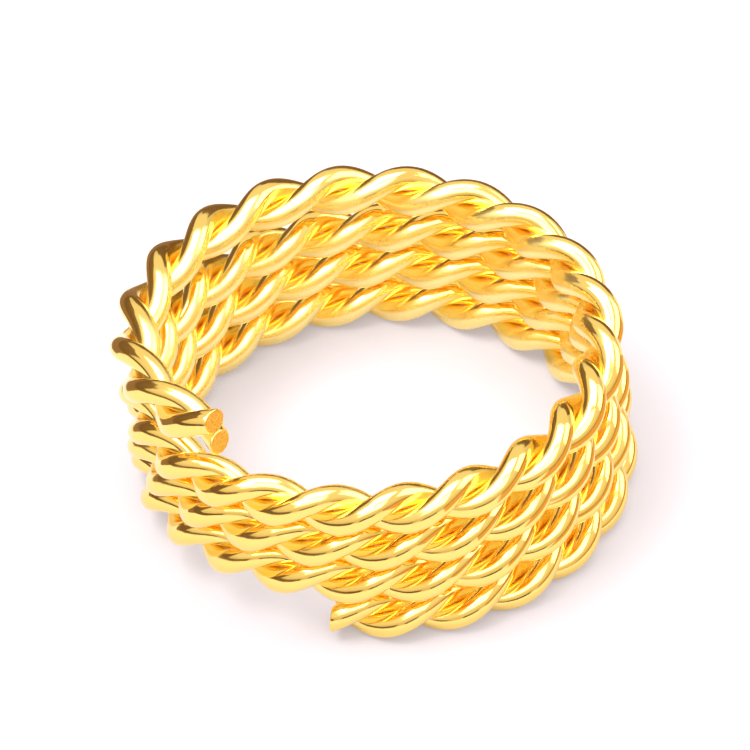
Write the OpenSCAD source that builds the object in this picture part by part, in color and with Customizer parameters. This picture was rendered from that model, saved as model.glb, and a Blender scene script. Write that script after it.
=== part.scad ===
// Braid hair ring: a short open coil, wound from a rope of two twisted round wires.
// It lies on its bottom turn on z = 0 with its axis upright along Z, the way the braid passes.
// Angles are counted counter-clockwise from +X, seen from above.

/* [Rope] */
// Diameter of each of the two wires
wire_d = 0.68; // [0.4:0.01:0.9]
// Clear gap between the two wires of the rope
wire_gap = 0.02; // [0.02:0.01:0.2]
// Length of rope in which the wires go once round each other
twist_lead = 3.66; // [2.8:0.02:8]
// The same length at the upper cut end, where the twist has opened a little
end_lead = 4.3; // [2.8:0.05:10]
// Stretch of the top turn, in degrees, over which the twist opens
loose_arc = 180; // [60:5:300]
// Turn of the wires about the rope at the upper end: at 90 they lie one above the other
end_twist = 90; // [0:5:180]

/* [Coil] */
// Outside diameter over the rope
ring_d = 13.9; // [9:0.1:30]
// Number of turns from one cut end to the other
turns = 3.93; // [2.1:0.01:6]
// Clear gap between one turn and the next where they lie closest
turn_gap = 0.02; // [0.02:0.01:0.5]
// Direction of the lower cut end
lower_end_at = 256; // [0:1:359]
// Stretch of each turn, in degrees, in which it climbs onto the turn below
climb_arc = 100; // [70:5:180]

/* [Spring and wear] */
// Extra gap between turns on the side where the coil has been pulled open
fan_gap = 0.06; // [0:0.02:0.6]
// Direction of that open side
fan_at = 44; // [0:1:359]
// How far the top turn has slid sideways over the bottom one
lean = 0.75; // [0:0.05:1]
// Direction in which it has slid
lean_at = 238; // [0:1:359]
// How far the upper cut end has sprung up
end_lift = 0.8; // [0:0.05:2]
// Stretch of the top turn, in degrees, that springs up with it
lift_arc = 200; // [60:5:300]

/* [Facets] */
// Sides of each wire, and also sections in one twist, so that the two wires pass flat to flat
facets = 8; // [6:2:10]

/* [Hidden] */

rope_d = 2 * wire_d + wire_gap;
twist_r = (wire_d + wire_gap) / 2;
coil_r = (ring_d - rope_d) / 2;
coil_arc = 360 * turns;
// Part of the coil's arc that only the opening of the twist takes up
slack_arc = loose_arc / 2 * (end_lead / twist_lead - 1);
even_arc = coil_arc - slack_arc;
sections = round(even_arc * PI / 180 * coil_r / twist_lead * facets);
facet_step = 360 / facets;
// The climb is steepest half way, and the turn gap still holds there
climb_slope = atan(1.5 * rope_d / (coil_r * climb_arc * PI / 180));
turn_pitch = (rope_d + turn_gap) / cos(climb_slope);
// Reach of the difference that gives a curve's direction, in sections
near = 0.1;
gold = [0.93, 0.69, 0.16];

// Smooth climb from 0 to 1 while u goes from 0 to 1
function ease(u) = let(v = min(max(u, 0), 1)) v * v * (3 - 2 * v);

// Turns climbed at arc a: level on the turn below, then up over the last climb_arc
function climbed(a) = let(n = floor(a / 360)) n + ease((a - 360 * (n + 1)) / climb_arc + 1);

// Rise from one turn to the next in direction d
function turn_rise(d) = turn_pitch + fan_gap * (1 + cos(d - fan_at)) / 2;

// Spring of the free upper end at arc a
function sprung(a) = end_lift * pow(max(0, 1 - (coil_arc - a) / lift_arc), 1.5);

function direction(a) = lower_end_at + a;
function polar(r, d) = [r * cos(d), r * sin(d), 0];

// Centre line of the rope at arc a, counted from the lower cut end
function rope_at(a) =
    let(z = climbed(a) * turn_rise(direction(a)) + sprung(a),
        slide = lean * (z / (turn_pitch * turns) - 0.5))
    polar(coil_r, direction(a)) + polar(slide, lean_at) + [0, 0, rope_d / 2 + z];

function unit(v) = v / norm(v);
// Direction of v square to the unit vector t
function square_to(v, t) = unit(v - (v * t) * t);

// Arc at section s: even steps, which lengthen where the twist has opened
function arc_of(s) =
    let(left = even_arc * (1 - s / sections))
    even_arc - left + slack_arc * pow(max(0, 1 - left / loose_arc), 2);
function rope_dir(s) = unit(rope_at(arc_of(s + near)) - rope_at(arc_of(s - near)));

// Centre line of one wire at section s, which circles the rope's own centre line
function wire_at(s, phase) =
    let(t = rope_dir(s),
        out = square_to(polar(1, direction(arc_of(s))), t),
        down = cross(t, out),
        twist = end_twist + phase + facet_step * (sections - s))
    rope_at(arc_of(s)) + twist_r * (cos(twist) * out + sin(twist) * down);
function wire_dir(s, phase) = unit(wire_at(s + near, phase) - wire_at(s - near, phase));

// One section of a wire, square to the wire, or slid along it onto a plain cut across the rope
function wire_section(s, phase, cut) =
    let(w = wire_dir(s, phase), t = rope_dir(s),
        u = square_to(polar(1, direction(arc_of(s))), w),
        v = cross(w, u))
    [for (k = [0 : facets - 1])
        let(p = wire_d / 2 * (cos(k * facet_step) * u + sin(k * facet_step) * v))
        wire_at(s, phase) + p - (cut ? (p * t) / (w * t) : 0) * w];

module wire(phase) {
    points = [for (s = [0 : sections])
        each wire_section(s, phase, cut = s == 0 || s == sections)];
    skin = [for (s = [0 : sections - 1], k = [0 : facets - 1])
        let(a = s * facets + k, b = s * facets + (k + 1) % facets)
        each [[a, a + facets, b], [b, a + facets, b + facets]]];
    lower_cut = [for (k = [0 : facets - 1]) k];
    upper_cut = [for (k = [facets - 1 : -1 : 0]) sections * facets + k];
    polyhedron(points, concat(skin, [lower_cut, upper_cut]), convexity = 10);
}

module first_wire() { color(gold) wire(0); }
module second_wire() { color(gold) wire(180); }

first_wire();
second_wire();
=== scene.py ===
# %% [markdown]
# # A braid hair ring, from twisted gold wire to the finished picture
# A braid ring is a short coil that is squeezed round a braid or a lock of hair. The real one is made in
# three steps: two round wires are twisted into a rope, the rope is wound into just under four turns, and
# the coil is cut free, tumbled and gold-plated. This lesson makes the visible ring in the same order.
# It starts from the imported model, which says where the two wires are. Lengths are in metres and angles
# in degrees.

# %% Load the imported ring
import math

import bpy
import numpy as np
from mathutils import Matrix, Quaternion, Vector


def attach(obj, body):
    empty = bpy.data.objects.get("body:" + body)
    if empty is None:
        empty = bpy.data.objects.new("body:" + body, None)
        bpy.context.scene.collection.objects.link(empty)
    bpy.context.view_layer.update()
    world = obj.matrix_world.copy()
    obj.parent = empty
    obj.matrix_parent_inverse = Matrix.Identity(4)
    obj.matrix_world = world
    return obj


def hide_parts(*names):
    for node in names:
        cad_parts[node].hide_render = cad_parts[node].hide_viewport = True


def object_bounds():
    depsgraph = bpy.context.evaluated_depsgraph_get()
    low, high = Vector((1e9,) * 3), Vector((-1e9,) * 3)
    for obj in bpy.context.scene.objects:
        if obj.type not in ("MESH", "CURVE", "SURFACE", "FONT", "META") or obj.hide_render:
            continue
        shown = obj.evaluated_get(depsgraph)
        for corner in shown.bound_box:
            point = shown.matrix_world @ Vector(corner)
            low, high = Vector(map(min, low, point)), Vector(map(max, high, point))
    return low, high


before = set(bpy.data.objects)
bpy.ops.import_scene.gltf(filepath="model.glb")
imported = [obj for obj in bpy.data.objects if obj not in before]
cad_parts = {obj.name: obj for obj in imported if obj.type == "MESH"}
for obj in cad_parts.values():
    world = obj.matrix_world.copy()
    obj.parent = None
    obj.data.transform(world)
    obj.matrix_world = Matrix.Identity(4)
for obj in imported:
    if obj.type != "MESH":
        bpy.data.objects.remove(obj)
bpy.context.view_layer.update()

# %% [markdown]
# ## The rope's sizes
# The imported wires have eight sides, which is enough to weigh them and let them rest on a table, but a
# polished wire shows every flat as a broken reflection. So both wires are made again here, round, along
# the same lines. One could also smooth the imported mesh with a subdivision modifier. That would shrink it
# and leave it lumpy, because its triangles run askew. Working the lines out again from the rope's few
# real sizes gives a clean surface, and the same sizes can place the grain of the metal later on.

# %% Rope and coil sizes
MM = 0.001
WIRE_R = 0.34 * MM
WIRE_GAP = 0.02 * MM
TWIST_LEAD = 3.66 * MM
END_LEAD = 4.3 * MM
LOOSE_ARC = 180
END_TWIST = 90

RING_R = 6.95 * MM
TURNS = 3.93
TURN_GAP = 0.02 * MM
LOWER_END_AT = 256
CLIMB_ARC = 100

ROPE_D = 4 * WIRE_R + WIRE_GAP
TWIST_R = WIRE_R + WIRE_GAP / 2
COIL_R = RING_R - ROPE_D / 2
COIL_ARC = 360 * TURNS
# Part of the arc that only the opening of the twist near the upper end takes up
SLACK_ARC = LOOSE_ARC / 2 * (END_LEAD / TWIST_LEAD - 1)
EVEN_ARC = COIL_ARC - SLACK_ARC
# The rope's length in twists, in whole eighths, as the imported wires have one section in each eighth
TWISTS = round(8 * COIL_R * math.radians(EVEN_ARC) / TWIST_LEAD) / 8
print(f"rope {ROPE_D / MM:.2f} mm thick, {TWISTS} twists, {360 * TWISTS / EVEN_ARC:.2f} in each turn")

# %% [markdown]
# ## How the coil has sprung
# A coil fresh from its mandrel is regular, and looks like a drawing. A worn one isn't: the turns lie level
# on each other and climb in one place, they gape a little on one side, the top has slid a little sideways,
# and the free upper end has sprung up and lost a little of its twist. These are the small things that the
# eye takes for real, so they are part of the rope's line and aren't added as noise afterwards.

# %% Spring and wear
FAN_GAP = 0.06 * MM
FAN_AT = 44
LEAN = 0.75 * MM
LEAN_AT = 238
END_LIFT = 0.8 * MM
LIFT_ARC = 200

CLIMB_SLOPE = math.atan(1.5 * ROPE_D / (COIL_R * math.radians(CLIMB_ARC)))
TURN_PITCH = (ROPE_D + TURN_GAP) / math.cos(CLIMB_SLOPE)


def ease(u):
    v = np.clip(u, 0, 1)
    return v * v * (3 - 2 * v)


def climbed(arc):
    """Turns climbed at an arc in degrees: level on the turn below, then up over the last stretch."""
    turn = np.floor(arc / 360)
    return turn + ease((arc - 360 * (turn + 1)) / CLIMB_ARC + 1)


def turn_rise(towards):
    return TURN_PITCH + FAN_GAP * (1 + np.cos(np.radians(towards - FAN_AT))) / 2


def sprung(arc):
    return END_LIFT * np.maximum(0, 1 - (COIL_ARC - arc) / LIFT_ARC) ** 1.5


print(f"each turn rises {TURN_PITCH / MM:.2f} mm, and up to {(TURN_PITCH + FAN_GAP) / MM:.2f} mm")

# %% [markdown]
# ## The rope's middle line
# A place along the rope is counted in twists from the lower cut end. It is a handier measure than metres:
# a whole number more is the same place in the pattern, one twist on. All functions take a whole array of
# places at once, so that one call works out the line of a wire.

# %% Middle line of the rope
# Half the step, in twists, between the two points of a line that give its direction
NEAR = 0.0125


def arc_at(place):
    """Arc in degrees at a place: even steps, which lengthen where the twist has opened."""
    left = EVEN_ARC * (1 - place / TWISTS)
    return EVEN_ARC - left + SLACK_ARC * np.maximum(0, 1 - left / LOOSE_ARC) ** 2


def heading(place):
    return LOWER_END_AT + arc_at(place)


def level(radius, towards):
    """Vectors of a given length that lie level and point in the given directions, in degrees."""
    a = np.radians(towards)
    return np.stack([radius * np.cos(a), radius * np.sin(a), 0 * a], axis=-1)


def rope_at(place):
    place = np.asarray(place, float)
    arc = arc_at(place)
    height = climbed(arc) * turn_rise(heading(place)) + sprung(arc)
    slide = LEAN * (height / (TURN_PITCH * TURNS) - 0.5)
    middle = level(COIL_R, heading(place)) + level(slide, LEAN_AT + 0 * arc)
    middle[..., 2] += ROPE_D / 2 + height
    return middle


rope_length = np.linalg.norm(np.diff(rope_at(np.linspace(0, TWISTS, 2000)), axis=0), axis=1).sum()
print(f"rope {rope_length / MM:.0f} mm long")

# %% [markdown]
# ## The two wires in the rope
# Each wire circles the rope's middle line, half a twist from the other. At every place we need three
# directions: along the rope, outwards from the coil, and square to both. The wire's own direction comes
# from two points close together on its line.

# %% Lines of the wires


def unit(v):
    return v / np.linalg.norm(v, axis=-1, keepdims=True)


def square_to(v, along):
    """Direction of v with its part along the given unit vectors taken out."""
    return unit(v - np.sum(v * along, axis=-1, keepdims=True) * along)


def rope_way(place):
    return unit(rope_at(place + NEAR) - rope_at(place - NEAR))


def wire_at(place, phase):
    place = np.asarray(place, float)
    way = rope_way(place)
    outward = square_to(level(1, heading(place)), way)
    down = np.cross(way, outward)
    twist = np.radians(END_TWIST + phase + 360 * (TWISTS - place))[..., None]
    return rope_at(place) + TWIST_R * (np.cos(twist) * outward + np.sin(twist) * down)


def wire_way(place, phase):
    return unit(wire_at(place + NEAR, phase) - wire_at(place - NEAR, phase))


slant = np.degrees(np.arccos(np.sum(rope_way(np.array([9.0])) * wire_way(np.array([9.0]), 0))))
print(f"the wires lie {slant:.0f} degrees across the rope")

# %% [markdown]
# ## The rings of points round a wire
# A wire's surface is a row of rings, each square to the wire. Near a cut end the rings lean over bit by bit
# until the last lies in the plane of the cut, which is square to the rope and not to the wire. The very
# last rings draw in along a small quarter circle, because tumbling takes the sharp edge off a cut. That
# narrow rounding catches the light, and tells the eye that the wire is solid metal.
#
# Twisting also presses the two wires a little flat where they touch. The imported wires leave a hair's
# gap there, through which the white table would flash, so each ring swells towards the other wire.

# %% Rings of points
SIDES = 28
RINGS_PER_TWIST = 36
# Stretch before a cut, in twists, over which the rings lean
LEAN_OVER = 0.25
EDGE_R = 0.035 * MM
EDGE_RINGS = 5
# Swelling where the wires touch, and how slowly it fades round the wire
BED = 0.0085 * MM
BED_SPREAD = 0.3


def ring_places():
    """Places of the rings, how far each leans to the cut, how far it draws in and how far back it is."""
    count = round(TWISTS * RINGS_PER_TWIST)
    body = np.linspace(0, TWISTS, count + 1)[1:-1]
    lean = 1 - ease(np.minimum(body, TWISTS - body) / LEAN_OVER)
    turn = np.linspace(0, np.pi / 2, EDGE_RINGS)
    draw, back = EDGE_R * (1 - np.cos(turn)), EDGE_R * (1 - np.sin(turn))
    full, none = np.ones(EDGE_RINGS), np.zeros(len(body))
    place = np.concatenate([0 * full, body, TWISTS * full])
    lean = np.concatenate([full, lean, full])
    draw_in = np.concatenate([draw[::-1], none, draw])
    set_back = np.concatenate([-back[::-1], none, back])
    return place, lean, draw_in, set_back


def ring_points(phase):
    """Places of all the rings of a wire, their points, and the angles of the points in a ring."""
    place, lean, draw_in, set_back = ring_places()
    way, rope = wire_way(place, phase), rope_way(place)
    side = square_to(level(1, heading(place)), way)
    over = np.cross(way, side)
    angle = np.linspace(0, 2 * np.pi, SIDES, endpoint=False)
    spoke = np.cos(angle)[None, :, None] * side[:, None] + np.sin(angle)[None, :, None] * over[:, None]
    middle = wire_at(place, phase)
    inward = unit(rope_at(place) - middle)
    swell = BED * np.exp((np.sum(spoke * inward[:, None], axis=-1) - 1) / BED_SPREAD)
    spoke = spoke * (WIRE_R - draw_in[:, None] + swell)[..., None]
    askew = np.sum(way * rope, axis=-1)[:, None]
    slide = np.sum(spoke * rope[:, None], axis=-1) * lean[:, None] + set_back[:, None]
    points = middle[:, None] + spoke - (slide / askew)[..., None] * way[:, None]
    return place, points, angle


place, points = ring_points(0)[:2]
print(f"{points.shape[0]} rings of {points.shape[1]} points in each wire")

# %% [markdown]
# ## How close the next strand lies
# Polishing reaches the crowns of the strands and not the valleys between them. To tell one from the other,
# every point of the surface gets a number: how far it is from the nearest other strand, whether that
# belongs to the other wire or to the turn above or below. It sets the valleys' duller finish and the
# paler gold that is painted there as fill light, to lift their shade. It could be guessed by the renderer
# from light alone, but a number that is kept with the mesh looks the same from all sides and in all lights.

# %% Distance to the next strand
# How far, in twists, the search goes along another strand to either side, and in how many steps
REACH = 0.6
STEPS = 25


def a_turn_on(place, turns):
    """The places that lie whole turns further along the coil."""
    known = np.linspace(-TWISTS / 2, 1.5 * TWISTS, 2000)
    return np.interp(arc_at(place) + 360 * turns, arc_at(known), known)


def distance_to_next(place, points, phase):
    nearest = np.full(points.shape[:2], 1.0)
    for turns in (-1, 0, 1):
        for other in (0, 180):
            if turns == 0 and other == phase:
                continue
            for shift in np.linspace(-REACH, REACH, STEPS):
                there = a_turn_on(place, turns) + shift
                real = (there >= 0) & (there <= TWISTS)
                gap = np.linalg.norm(points - wire_at(there, other)[:, None], axis=-1) - WIRE_R
                nearest = np.where(real[:, None], np.minimum(nearest, gap), nearest)
    return nearest


gap = distance_to_next(place, points, 0)
print(f"strands pass {gap.min() / MM:.3f} mm apart, and a crown stands {gap.max() / MM:.2f} mm clear")

# %% [markdown]
# ## The faces between the points
# The rings are joined by four-sided faces. Each cut is closed with smaller rings and a middle point, so
# that the end has no long thin faces, and so that it can be very slightly hollow, as a sheared wire is.

# %% Bands and cuts
CUT_RINGS = 3
CUT_HOLLOW = 0.012 * MM


def cut_points(rim, inwards):
    """Smaller rings across a cut and its middle point, with a slight hollow."""
    middle = rim.mean(axis=0)
    shares = np.linspace(1, 0, CUT_RINGS + 2)[1:-1]
    rings = [middle + (rim - middle) * s + inwards * CUT_HOLLOW * (1 - s * s) for s in shares]
    return np.concatenate(rings + [(middle + inwards * CUT_HOLLOW)[None]])


def band(first, second):
    """Faces between two rings whose points start at the given numbers."""
    faces = []
    for k in range(SIDES):
        n = (k + 1) % SIDES
        faces.append((first + k, first + n, second + n, second + k))
    return faces


def cut_faces(rim, start, upper):
    """Faces of a cut: bands through its rings, and a fan to its middle point."""
    firsts = [rim] + [start + SIDES * r for r in range(CUT_RINGS)]
    middle = start + SIDES * CUT_RINGS
    faces = [f for a, b in zip(firsts, firsts[1:]) for f in band(a, b)]
    faces += [(firsts[-1] + k, firsts[-1] + (k + 1) % SIDES, middle) for k in range(SIDES)]
    return faces if upper else [tuple(reversed(f)) for f in faces]


print(f"a cut has {len(cut_faces(0, 0, upper=True))} faces")

# %% [markdown]
# ## The mesh of a wire
# The bands make an open tube, and a cut closes each of its ends. A wire could be left open there, since
# its inside never shows, but a closed one can be weighed, printed and cut like the real thing. The faces
# of the cuts are marked for a finish of their own.

# %% Mesh of a wire


def wire_mesh(name, place, points):
    """Closed mesh of a wire. The points of the tube come first, then those of the two cuts."""
    rope = rope_way(place)
    rings = len(points)
    tube = points.reshape(-1, 3)
    low_cut = cut_points(points[0], rope[0])
    high_cut = cut_points(points[-1], -rope[-1])
    bands = [f for r in range(rings - 1) for f in band(r * SIDES, (r + 1) * SIDES)]
    low = cut_faces(0, len(tube), upper=False)
    high = cut_faces((rings - 1) * SIDES, len(tube) + len(low_cut), upper=True)
    mesh = bpy.data.meshes.new(name)
    mesh.from_pydata(np.concatenate([tube, low_cut, high_cut]).tolist(), [], bands + low + high)
    mesh.validate()
    mesh.shade_smooth()
    for polygon in mesh.polygons[len(bands):]:
        polygon.material_index = 1
    return mesh


print("a wire's mesh:", (len(place) - 1) * SIDES, "faces in its tube")

# %% [markdown]
# ## Facts that the mesh keeps
# The finish will need to know three things at each point: the distance to the next strand, a place along
# and round the wire that has no seam, and the side of the coil, from -1 at the inside to 1 at the
# outside. They are kept with the mesh as attributes. A painted image could hold them too, but it would
# need the wire to be unrolled, and would be coarse over a length of 180 mm.

# %% Build a wire


def keep_fact(mesh, name, values, in_cuts=0.0):
    """Keep a number or a vector with each point of the tube. All points of the cuts share one value."""
    cuts = len(mesh.vertices) - len(values)
    values = np.concatenate([values, np.full((cuts, *values.shape[1:]), in_cuts)])
    kind, field = ("FLOAT_VECTOR", "vector") if values.ndim == 2 else ("FLOAT", "value")
    mesh.attributes.new(name, kind, "POINT").data.foreach_set(field, values.ravel())


def make_wire(name, phase):
    place, points, angle = ring_points(phase)
    mesh = wire_mesh(name, place, points)
    clear = distance_to_next(place, points, phase)
    keep_fact(mesh, "next_strand", clear.ravel() / MM, in_cuts=WIRE_R / MM)
    steps = np.linalg.norm(np.diff(wire_at(place, phase), axis=0), axis=1)
    along = np.concatenate([[0], np.cumsum(steps)])
    grain = np.broadcast_arrays(along[:, None], WIRE_R * np.cos(angle), WIRE_R * np.sin(angle))
    keep_fact(mesh, "grain_way", np.stack(grain, axis=-1).reshape(-1, 3))
    outward = level(1, heading(place))[:, None]
    side = np.sum((points - rope_at(place)[:, None]) * outward, axis=-1) / (ROPE_D / 2)
    keep_fact(mesh, "outer_side", side.ravel())
    wire = bpy.data.objects.new(name, mesh)
    bpy.context.scene.collection.objects.link(wire)
    print(f"{name}: {len(mesh.vertices)} points, wire {along[-1] / MM:.0f} mm long")
    return wire


# %% [markdown]
# ## Helpers for the finishes
# A finish is a small network of shader nodes. In the node editor one draws a line from socket to socket.
# In a script it reads better when a node is made with all that goes into it, so the helpers here take
# either a value or another node's socket for each socket of the new node. Helpers for single kinds of
# node follow where they are first needed.

# %% Node helpers


def plug(tree, node, socket, value):
    """Set a socket to a value, or join it where the value is another node's socket."""
    if isinstance(value, bpy.types.NodeSocket):
        tree.links.new(value, node.inputs[socket])
    else:
        node.inputs[socket].default_value = value


def plug_all(tree, node, sockets):
    """Set or join several sockets, in whose names an underscore stands for a space."""
    for key, value in sockets.items():
        plug(tree, node, key.replace("_", " "), value)


def add(tree, kind, **sockets):
    node = tree.nodes.new(kind)
    plug_all(tree, node, sockets)
    return node


def set_shader(finish, **sockets):
    """Set or join sockets of a material's own shader."""
    tree = finish.node_tree
    plug_all(tree, tree.nodes["Principled BSDF"], sockets)


def new_finish(name, **sockets):
    finish = bpy.data.materials.new(name)
    finish.use_nodes = True
    set_shader(finish, **sockets)
    return finish


# %% [markdown]
# ## The colour of the gold
# Gold plate over brass is a metal, so all its colour is in its reflections: Metallic is 1, and the base
# colour is the colour of the mirror. The light that bounces from strand to strand is coloured again each
# time, which is why the valleys of a real ring are deep orange. The finish adds painted light to that: a
# paler gold in the valleys and on the inside of the coil is painted fill light, which lifts the shade that
# the many bounces leave there. Soft clouds of random tone mark where fingers and hair have touched the
# plate. The three are added up by their weights, and a colour ramp turns the sum into a gold. One could
# also paint dark lines into the valleys. They would stay dark in every light, which metal doesn't.

# %% Colour of the plate
# The paler golds along the ramp are painted fill light, which lifts the shade of the valleys and the coil's
# inside
CROWN_GOLD = (0.99, 0.71, 0.19)
SIDE_GOLD = (0.99, 0.725, 0.225)
PAINTED_LIGHT_GOLD = (1.0, 0.81, 0.31)
# Place of the sides' gold on the ramp, the weight of the clouds, and that of the light painted on the
# coil's inside
SIDE_GOLD_AT = 0.45
CLOUD_TINT = 0.25
INSIDE_PAINTED_LIGHT = 0.8


def weighted(tree, value, weight, rest):
    """The value times its weight, plus the rest."""
    node = tree.nodes.new("ShaderNodeMath")
    node.operation = "MULTIPLY_ADD"
    for number, given in enumerate((value, weight, rest)):
        plug(tree, node, number, given)
    return node.outputs["Value"]


def ramp(tree, value, stops):
    """A colour ramp from a list of (place, colour) stops."""
    node = add(tree, "ShaderNodeValToRGB", Fac=value)
    bar = node.color_ramp
    while len(bar.elements) < len(stops):
        bar.elements.new(0.5)
    for element, (at, colour) in zip(bar.elements, stops):
        element.position = at
        element.color = (*colour, 1)
    return node.outputs["Color"]


def plate_colour(tree, valley, inside, clouds):
    """The crowns' gold, up to a paler gold painted as fill light into the valleys and the coil's inside."""
    # Painted light: the valleys and the coil's inside are pushed to the paler gold; the clouds are random
    # tone
    tint_and_painted_light = weighted(tree, inside, INSIDE_PAINTED_LIGHT, weighted(tree, clouds, CLOUD_TINT, valley))
    return ramp(tree, tint_and_painted_light, [(0.0, CROWN_GOLD), (SIDE_GOLD_AT, SIDE_GOLD), (1.0, PAINTED_LIGHT_GOLD)])


print(f"gold of the valleys: {100 * (PAINTED_LIGHT_GOLD[1] / CROWN_GOLD[1] - 1):.0f}% more green than the crowns")

# %% [markdown]
# ## How dull the gold is
# A crown is nearly a mirror. No polishing mop reaches the valleys, and little of the tumbling reaches the
# inside of the coil, which in the photograph is softer than the outside. So both are duller. The clouds
# make a slight difference everywhere: their noise is moved from its own range into one of roughness. One
# roughness all over would be simpler, but it is the first thing that gives a drawn metal away.

# %% Dullness of the plate
# Range of the clouds' noise, and the roughness at its two ends
CLOUDS_FROM_TO = (0.35, 0.75)
CLOUD_DULLNESS = (0.08, 0.18)
VALLEY_DULLNESS = 0.12
INSIDE_DULLNESS = 0.16


def remap(tree, value, low, high, to_low, to_high):
    """Goes smoothly from to_low to to_high while the value goes from low to high."""
    node = add(tree, "ShaderNodeMapRange", Value=value, From_Min=low, From_Max=high,
               To_Min=to_low, To_Max=to_high)
    node.interpolation_type = "SMOOTHSTEP"
    return node.outputs["Result"]


def plate_dullness(tree, valley, inside, clouds):
    soft = remap(tree, clouds, *CLOUDS_FROM_TO, *CLOUD_DULLNESS)
    return weighted(tree, inside, INSIDE_DULLNESS, weighted(tree, valley, VALLEY_DULLNESS, soft))


print(f"roughness: {CLOUD_DULLNESS[0]:.2f} to {CLOUD_DULLNESS[1] + VALLEY_DULLNESS + INSIDE_DULLNESS:.2f}")

# %% [markdown]
# ## Fine marks in the gold
# Long fine lines along the wire are left by the die that it was drawn through, and the mop leaves slight
# ripples. Neither is deeper than a hundredth of a millimetre, so bump is enough: they bend the
# reflections a little and would not show as shapes. The lines are a noise that is stretched along the
# wire, by the place that the mesh keeps. Stretched in plain space, it would run across the wire wherever
# the wire turns.

# %% Relief of the plate
# Marks to a metre along the wire, and in both directions across it
LINES_PER_METRE = (900.0, 26000.0, 26000.0)
LINE_DEPTH = 0.0015 * MM
LINE_STRENGTH = 0.35
RIPPLES_PER_METRE = 2600.0
RIPPLE_DEPTH = 0.01 * MM
RIPPLE_STRENGTH = 0.5


def mesh_fact(tree, name, output):
    node = tree.nodes.new("ShaderNodeAttribute")
    node.attribute_name = name
    return node.outputs[output]


def noise(tree, space, scale, detail, roughness):
    node = add(tree, "ShaderNodeTexNoise", Vector=space, Scale=scale, Detail=detail, Roughness=roughness)
    return node.outputs["Fac"]


def stretched_noise(tree, space, scales, detail, roughness):
    """Noise with a scale of its own in each of the three directions."""
    stretch = add(tree, "ShaderNodeMapping", Vector=space, Scale=scales)
    return noise(tree, stretch.outputs["Vector"], scale=1.0, detail=detail, roughness=roughness)


def plate_relief(tree, space):
    way = mesh_fact(tree, "grain_way", "Vector")
    lines = stretched_noise(tree, way, LINES_PER_METRE, detail=2.0, roughness=0.6)
    drawn = add(tree, "ShaderNodeBump", Height=lines, Distance=LINE_DEPTH, Strength=LINE_STRENGTH)
    ripples = noise(tree, space, RIPPLES_PER_METRE, detail=1.0, roughness=0.4)
    mopped = add(tree, "ShaderNodeBump", Height=ripples, Distance=RIPPLE_DEPTH, Strength=RIPPLE_STRENGTH,
                 Normal=drawn.outputs["Normal"])
    return mopped.outputs["Normal"]


print(f"a ripple every {1 / RIPPLES_PER_METRE / MM:.1f} mm")

# %% [markdown]
# ## The gold plate
# Colour, dullness and marks come together in one material. A valley is where the next strand is near, and
# the inside of the coil is the innermost part of the rope. Both fade out smoothly.

# %% Gold plate finish
# Distance to the next strand in millimetres, from the floor of a valley to its rim
VALLEY_FROM_TO = (0.02, 0.30)
# Side of the coil, from where the inside's painted light and dullness are full to where they end
INSIDE_FROM_TO = (-0.85, -0.15)
CLOUDS_PER_METRE = 700.0


def object_space(tree):
    return tree.nodes.new("ShaderNodeTexCoord").outputs["Object"]


def gold_plate():
    finish = new_finish("gold_plate", Metallic=1.0)
    tree = finish.node_tree
    space = object_space(tree)
    valley = remap(tree, mesh_fact(tree, "next_strand", "Fac"), *VALLEY_FROM_TO, 1.0, 0.0)
    inside = remap(tree, mesh_fact(tree, "outer_side", "Fac"), *INSIDE_FROM_TO, 1.0, 0.0)
    clouds = noise(tree, space, CLOUDS_PER_METRE, detail=3.0, roughness=0.55)
    # The valleys and the inside get painted fill light in the colour, and more roughness in the dullness
    colour = plate_colour(tree, valley, inside, clouds)
    dullness = plate_dullness(tree, valley, inside, clouds)
    set_shader(finish, Base_Color=colour, Roughness=dullness, Normal=plate_relief(tree, space))
    return finish


gold = gold_plate()
print("finish:", gold.name, "of", len(gold.node_tree.nodes), "nodes")

# %% [markdown]
# ## The cut faces
# Cutters shear the rope off, and the faces they leave are plated with the rest. They are matt and fine
# grained with a few parallel tear lines, and so look a shade deeper than the drawn wire beside them. The
# tears are the same stretched noise, here in plain space, because a cut is flat.

# %% Sheared end finish
SHEARED_GOLD = (0.95, 0.64, 0.20, 1)
# Tears to a metre in x, y and z
TEARS_PER_METRE = (6000.0, 6000.0, 30000.0)
TEAR_DEPTH = 0.008 * MM
TEAR_STRENGTH = 0.8
TEARS_FROM_TO = (0.3, 0.7)
SHEARED_DULLNESS = (0.18, 0.38)


def sheared_gold():
    finish = new_finish("sheared_gold", Metallic=1.0, Base_Color=SHEARED_GOLD)
    tree = finish.node_tree
    tears = stretched_noise(tree, object_space(tree), TEARS_PER_METRE, detail=4.0, roughness=0.65)
    torn = add(tree, "ShaderNodeBump", Height=tears, Distance=TEAR_DEPTH, Strength=TEAR_STRENGTH)
    matt = remap(tree, tears, *TEARS_FROM_TO, *SHEARED_DULLNESS)
    set_shader(finish, Roughness=matt, Normal=torn.outputs["Normal"])
    return finish


sheared = sheared_gold()
print("finish:", sheared.name, "of", len(sheared.node_tree.nodes), "nodes")

# %% [markdown]
# ## The ring itself
# Both wires are made by the same function, half a twist apart. Each stands for its imported node, moves
# with the one body of the ring, and takes the gold plate, with the sheared finish on its cuts.

# %% Make both wires
for name, phase in (("first_wire", 0), ("second_wire", 180)):
    wire = make_wire("round_" + name, phase)
    wire.data.materials.append(gold)
    wire.data.materials.append(sheared)
    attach(wire, "root")
    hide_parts(name)

ring_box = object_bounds()
ring_middle = (ring_box[0] + ring_box[1]) / 2
print("visible ring, millimetres:", [round(1000 * (b - a), 2) for a, b in zip(*ring_box)])

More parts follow.
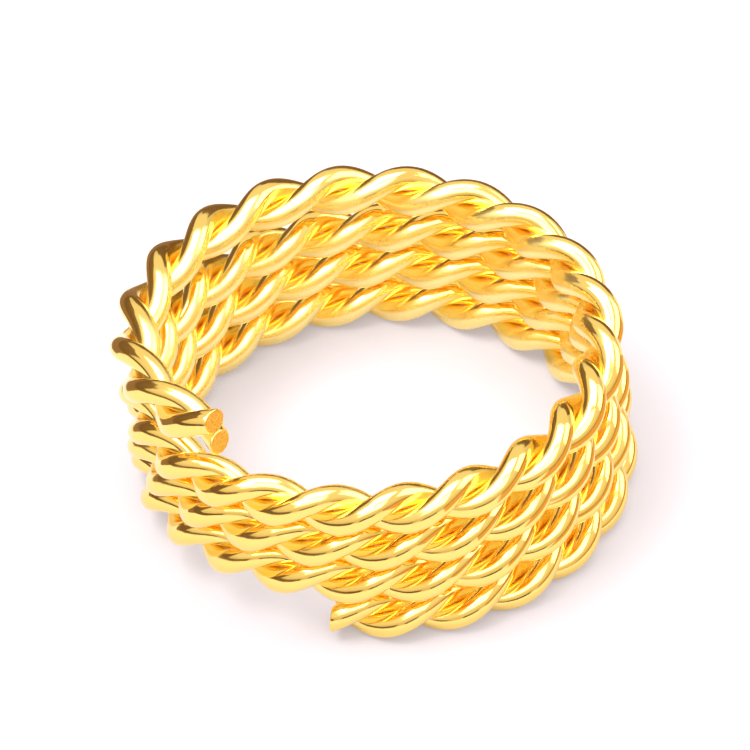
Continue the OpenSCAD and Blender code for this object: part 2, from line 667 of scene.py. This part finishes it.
# %% [markdown]
# ## The table
# The ring lies on matt white paper. The paper is part of the light: the undersides of the strands
# mirror it, and without it they would be black. In the photograph the shadows on it are pale and soft,
# as on a light table. More lamps could fill them, but would add highlights to the metal. So the paper is
# less white than it looks and glows a little by itself, which lifts the shadows and nothing else.

# %% Paper
PAPER_HALF = 0.6
PAPER_GREY = (0.35, 0.328, 0.352, 1)
PAPER_GLOW = (0.98, 0.96, 1.04, 1)
GLOW_STRENGTH = 0.30


def paper():
    mesh = bpy.data.meshes.new("paper")
    h = PAPER_HALF
    mesh.from_pydata([(-h, -h, 0), (h, -h, 0), (h, h, 0), (-h, h, 0)], [], [(0, 1, 2, 3)])
    sheet = bpy.data.objects.new("paper", mesh)
    bpy.context.scene.collection.objects.link(sheet)
    mesh.materials.append(new_finish("white_paper", Base_Color=PAPER_GREY, Roughness=0.9,
                                     Specular_IOR_Level=0.1, Emission_Color=PAPER_GLOW,
                                     Emission_Strength=GLOW_STRENGTH))
    return sheet


sheet = paper()
print(f"{sheet.name}: {2 * PAPER_HALF:.1f} m square")

# %% [markdown]
# ## The room
# Jewellery is lit by what it mirrors, so the room comes first. It is a plain soft one: cream walls, which
# give the gold its orange depth, a paler ceiling, and a floor as white as the paper. The world of the
# scene is enough for it, because nobody looks at the walls: only the metal mirrors them.

# %% Soft room
ROOM_FLOOR = (1.2, 1.18, 1.19)
ROOM_WALL = (0.80, 0.68, 0.54)
ROOM_COVE = (1.0, 0.92, 0.80)
ROOM_CEILING = (1.0, 0.92, 0.85)
# Colours from straight down at 0, through the horizon at 0.5, to straight up at 1
ROOM_BANDS = [(0.0, ROOM_FLOOR), (0.49, ROOM_FLOOR), (0.51, ROOM_WALL), (0.6, ROOM_WALL),
              (0.75, ROOM_COVE), (1.0, ROOM_CEILING)]


def soft_room():
    world = bpy.data.worlds.new("soft_room")
    world.use_nodes = True
    tree = world.node_tree
    way = tree.nodes.new("ShaderNodeTexCoord").outputs["Generated"]
    split = add(tree, "ShaderNodeSeparateXYZ", Vector=way)
    upright = add(tree, "ShaderNodeMapRange", Value=split.outputs["Z"], From_Min=-1.0, From_Max=1.0)
    colour = ramp(tree, upright.outputs["Result"], ROOM_BANDS)
    plug_all(tree, tree.nodes["Background"], {"Color": colour, "Strength": 1.0})
    bpy.context.scene.world = world


soft_room()
print("world:", bpy.context.scene.world.name)

# %% [markdown]
# ## Lamps
# Four soft boxes stand round the ring. One overhead whitens the crowns of the top turn, a wide one high
# at the front lays a broad pale light on the strands of both walls, the strongest, high at the left,
# models them and drops a soft shadow to the right, and a low one at the right wakes the wall opposite.
# Their size matters more than their strength: a polished wire mirrors a small lamp as a hard white line,
# and a wide dim one as the soft yellow sheen that the photograph shows.

# %% Soft boxes
LAMP_AWAY = 0.5


def place_round(towards, up, distance):
    """A point at a direction and an elevation round the ring, in degrees, and a distance from it."""
    e = math.radians(up)
    return ring_middle + distance * Vector((
        math.cos(math.radians(towards)) * math.cos(e),
        math.sin(math.radians(towards)) * math.cos(e),
        math.sin(e),
    ))


def lamp(name, towards, up, width, height, brightness):
    """A soft box that faces the ring, as bright as the given number of sheets of white paper."""
    light = bpy.data.lights.new(name, "AREA")
    light.shape = "RECTANGLE"
    light.size, light.size_y = width, height
    light.energy = brightness * math.pi * width * height
    held = bpy.data.objects.new(name, light)
    held.location = place_round(towards, up, LAMP_AWAY)
    held.rotation_euler = (ring_middle - held.location).to_track_quat("-Z", "Y").to_euler()
    bpy.context.scene.collection.objects.link(held)


# Name, direction, elevation, width, height, and brightness
lamp("softbox_top", 80, 83, 0.46, 0.34, 4.2)
lamp("softbox_front", 264, 55, 0.56, 0.30, 3.0)
lamp("softbox_left", 203, 62, 0.22, 0.22, 14.0)
lamp("softbox_right", 10, 31, 0.34, 0.30, 2.4)

# %% [markdown]
# ## Dark screens
# A photographer stands dark card round a polished thing, out of the picture, to give it edges. The sides
# of the strands that lean away from the camera mirror it as brown crescents and thin outlines, without
# which gold looks like yellow paint. Where the card stands decides which strands turn brown. The tall
# corner at the back left gives the thick rims of the top turn there, and the lower stretch at the back
# the thin line along the near rim. Between them it drops, because the valleys of the inner wall mirror
# that part and should stay orange. Its foot runs over the paper almost to the ring, for the outermost
# edge of a strand mirrors what lies just behind it. At the right lies a low card that is amber and not
# brown: the lower sides of the near strands would mirror white paper there and lose their depth. The
# screens are kept from the camera and cast no shadow, so the paper stays clean from all sides.

# %% Curved screens
SCREEN_PANELS = 48
CARD_LIFT = 0.3 * MM
BROWN_CARD = (0.11, 0.072, 0.048, 1)
BLACK_CARD = (0.03, 0.02, 0.015, 1)
AMBER_CARD = (0.30, 0.175, 0.075, 1)
# Directions in degrees, and the height of the back screen there in metres
BACK_OUTLINE = [(48, 0.13), (90, 0.13), (97, 0.05), (105, 0.05), (128, 0.24), (168, 0.26)]


def dark_screen(name, foot, away, outline, shade):
    """A card that runs over the paper from foot to away, and there stands up as high as its outline."""
    corners, heights = zip(*outline)
    turns = np.linspace(corners[0], corners[-1], SCREEN_PANELS + 1)
    rises = np.interp(turns, corners, heights)
    near = [(*place_round(towards, 0, foot).xy, CARD_LIFT) for towards in turns]
    far = [(*place_round(towards, 0, away).xy, CARD_LIFT) for towards in turns]
    top = [(*corner[:2], rise) for corner, rise in zip(far, rises)]
    count = len(turns)
    starts = [k for k in range(2 * count - 1) if k != count - 1]
    mesh = bpy.data.meshes.new(name)
    mesh.from_pydata(near + far + top, [], [(k, k + 1, k + 1 + count, k + count) for k in starts])
    screen = bpy.data.objects.new(name, mesh)
    bpy.context.scene.collection.objects.link(screen)
    mesh.materials.append(new_finish(name, Base_Color=shade, Roughness=0.9, Specular_IOR_Level=0.0))
    screen.visible_camera = False
    screen.visible_diffuse = False
    screen.visible_shadow = False
    print(f"{name}: {len(starts)} panels, up to {max(heights):.2f} m high")


# Name, distances of the foot and of the upright part from the ring's middle, outline, and colour
dark_screen("screen_back", 0.015, 0.3, BACK_OUTLINE, BROWN_CARD)
dark_screen("screen_left", 0.29, 0.3, [(168, 0.07), (238, 0.07)], BROWN_CARD)
dark_screen("screen_front", 0.39, 0.4, [(256, 0.06), (288, 0.06)], BLACK_CARD)
dark_screen("screen_right", 0.012, 0.3, [(304, 0.04), (385, 0.04)], AMBER_CARD)

# %% [markdown]
# ## Camera
# The photograph looks down on the ring at 43 degrees from about 200 mm away. A long lens from that
# distance fills the frame with the ring and keeps the photograph's perspective: moving closer would
# make the front of the ring swell. The ring stood left of the middle of the photograph, which tips it
# a little, and a slight roll of the camera gives that tip.

# %% Camera
CAMERA_AT = 270
CAMERA_UP = 43.2
CAMERA_AWAY = 205 * MM
CAMERA_ROLL = 2.3
FOCAL_LENGTH = 362

camera = bpy.data.objects.new("camera", bpy.data.cameras.new("camera"))
bpy.context.scene.collection.objects.link(camera)
camera.data.lens = FOCAL_LENGTH
camera.data.clip_start = 10 * MM
camera.location = place_round(CAMERA_AT, CAMERA_UP, CAMERA_AWAY)
aim = (ring_middle - camera.location).to_track_quat("-Z", "Y")
aim.rotate(Quaternion(aim @ Vector((0, 0, 1)), math.radians(-CAMERA_ROLL)))
camera.rotation_mode = "QUATERNION"
camera.rotation_quaternion = aim
bpy.context.scene.camera = camera
print(f"camera {CAMERA_AWAY / MM:.0f} mm away, lens {FOCAL_LENGTH} mm")

# %% [markdown]
# ## Colour
# The photograph is bright and its colours are strong, and its whites run over a little. The plain view
# of the colours does the same, where a filmic one would grey the gold. Light also bounces many times
# between two polished strands before it finds its way out of their valley. A path that is cut short
# stays black, so long paths are allowed.

# %% View of the colours and length of the light's path
LIGHT_BOUNCES = 24
bpy.context.scene.view_settings.view_transform = "Standard"
bpy.context.scene.view_settings.exposure = 0.0
bpy.context.scene.cycles.max_bounces = LIGHT_BOUNCES
bpy.context.scene.cycles.glossy_bounces = LIGHT_BOUNCES
print("light may bounce", LIGHT_BOUNCES, "times")
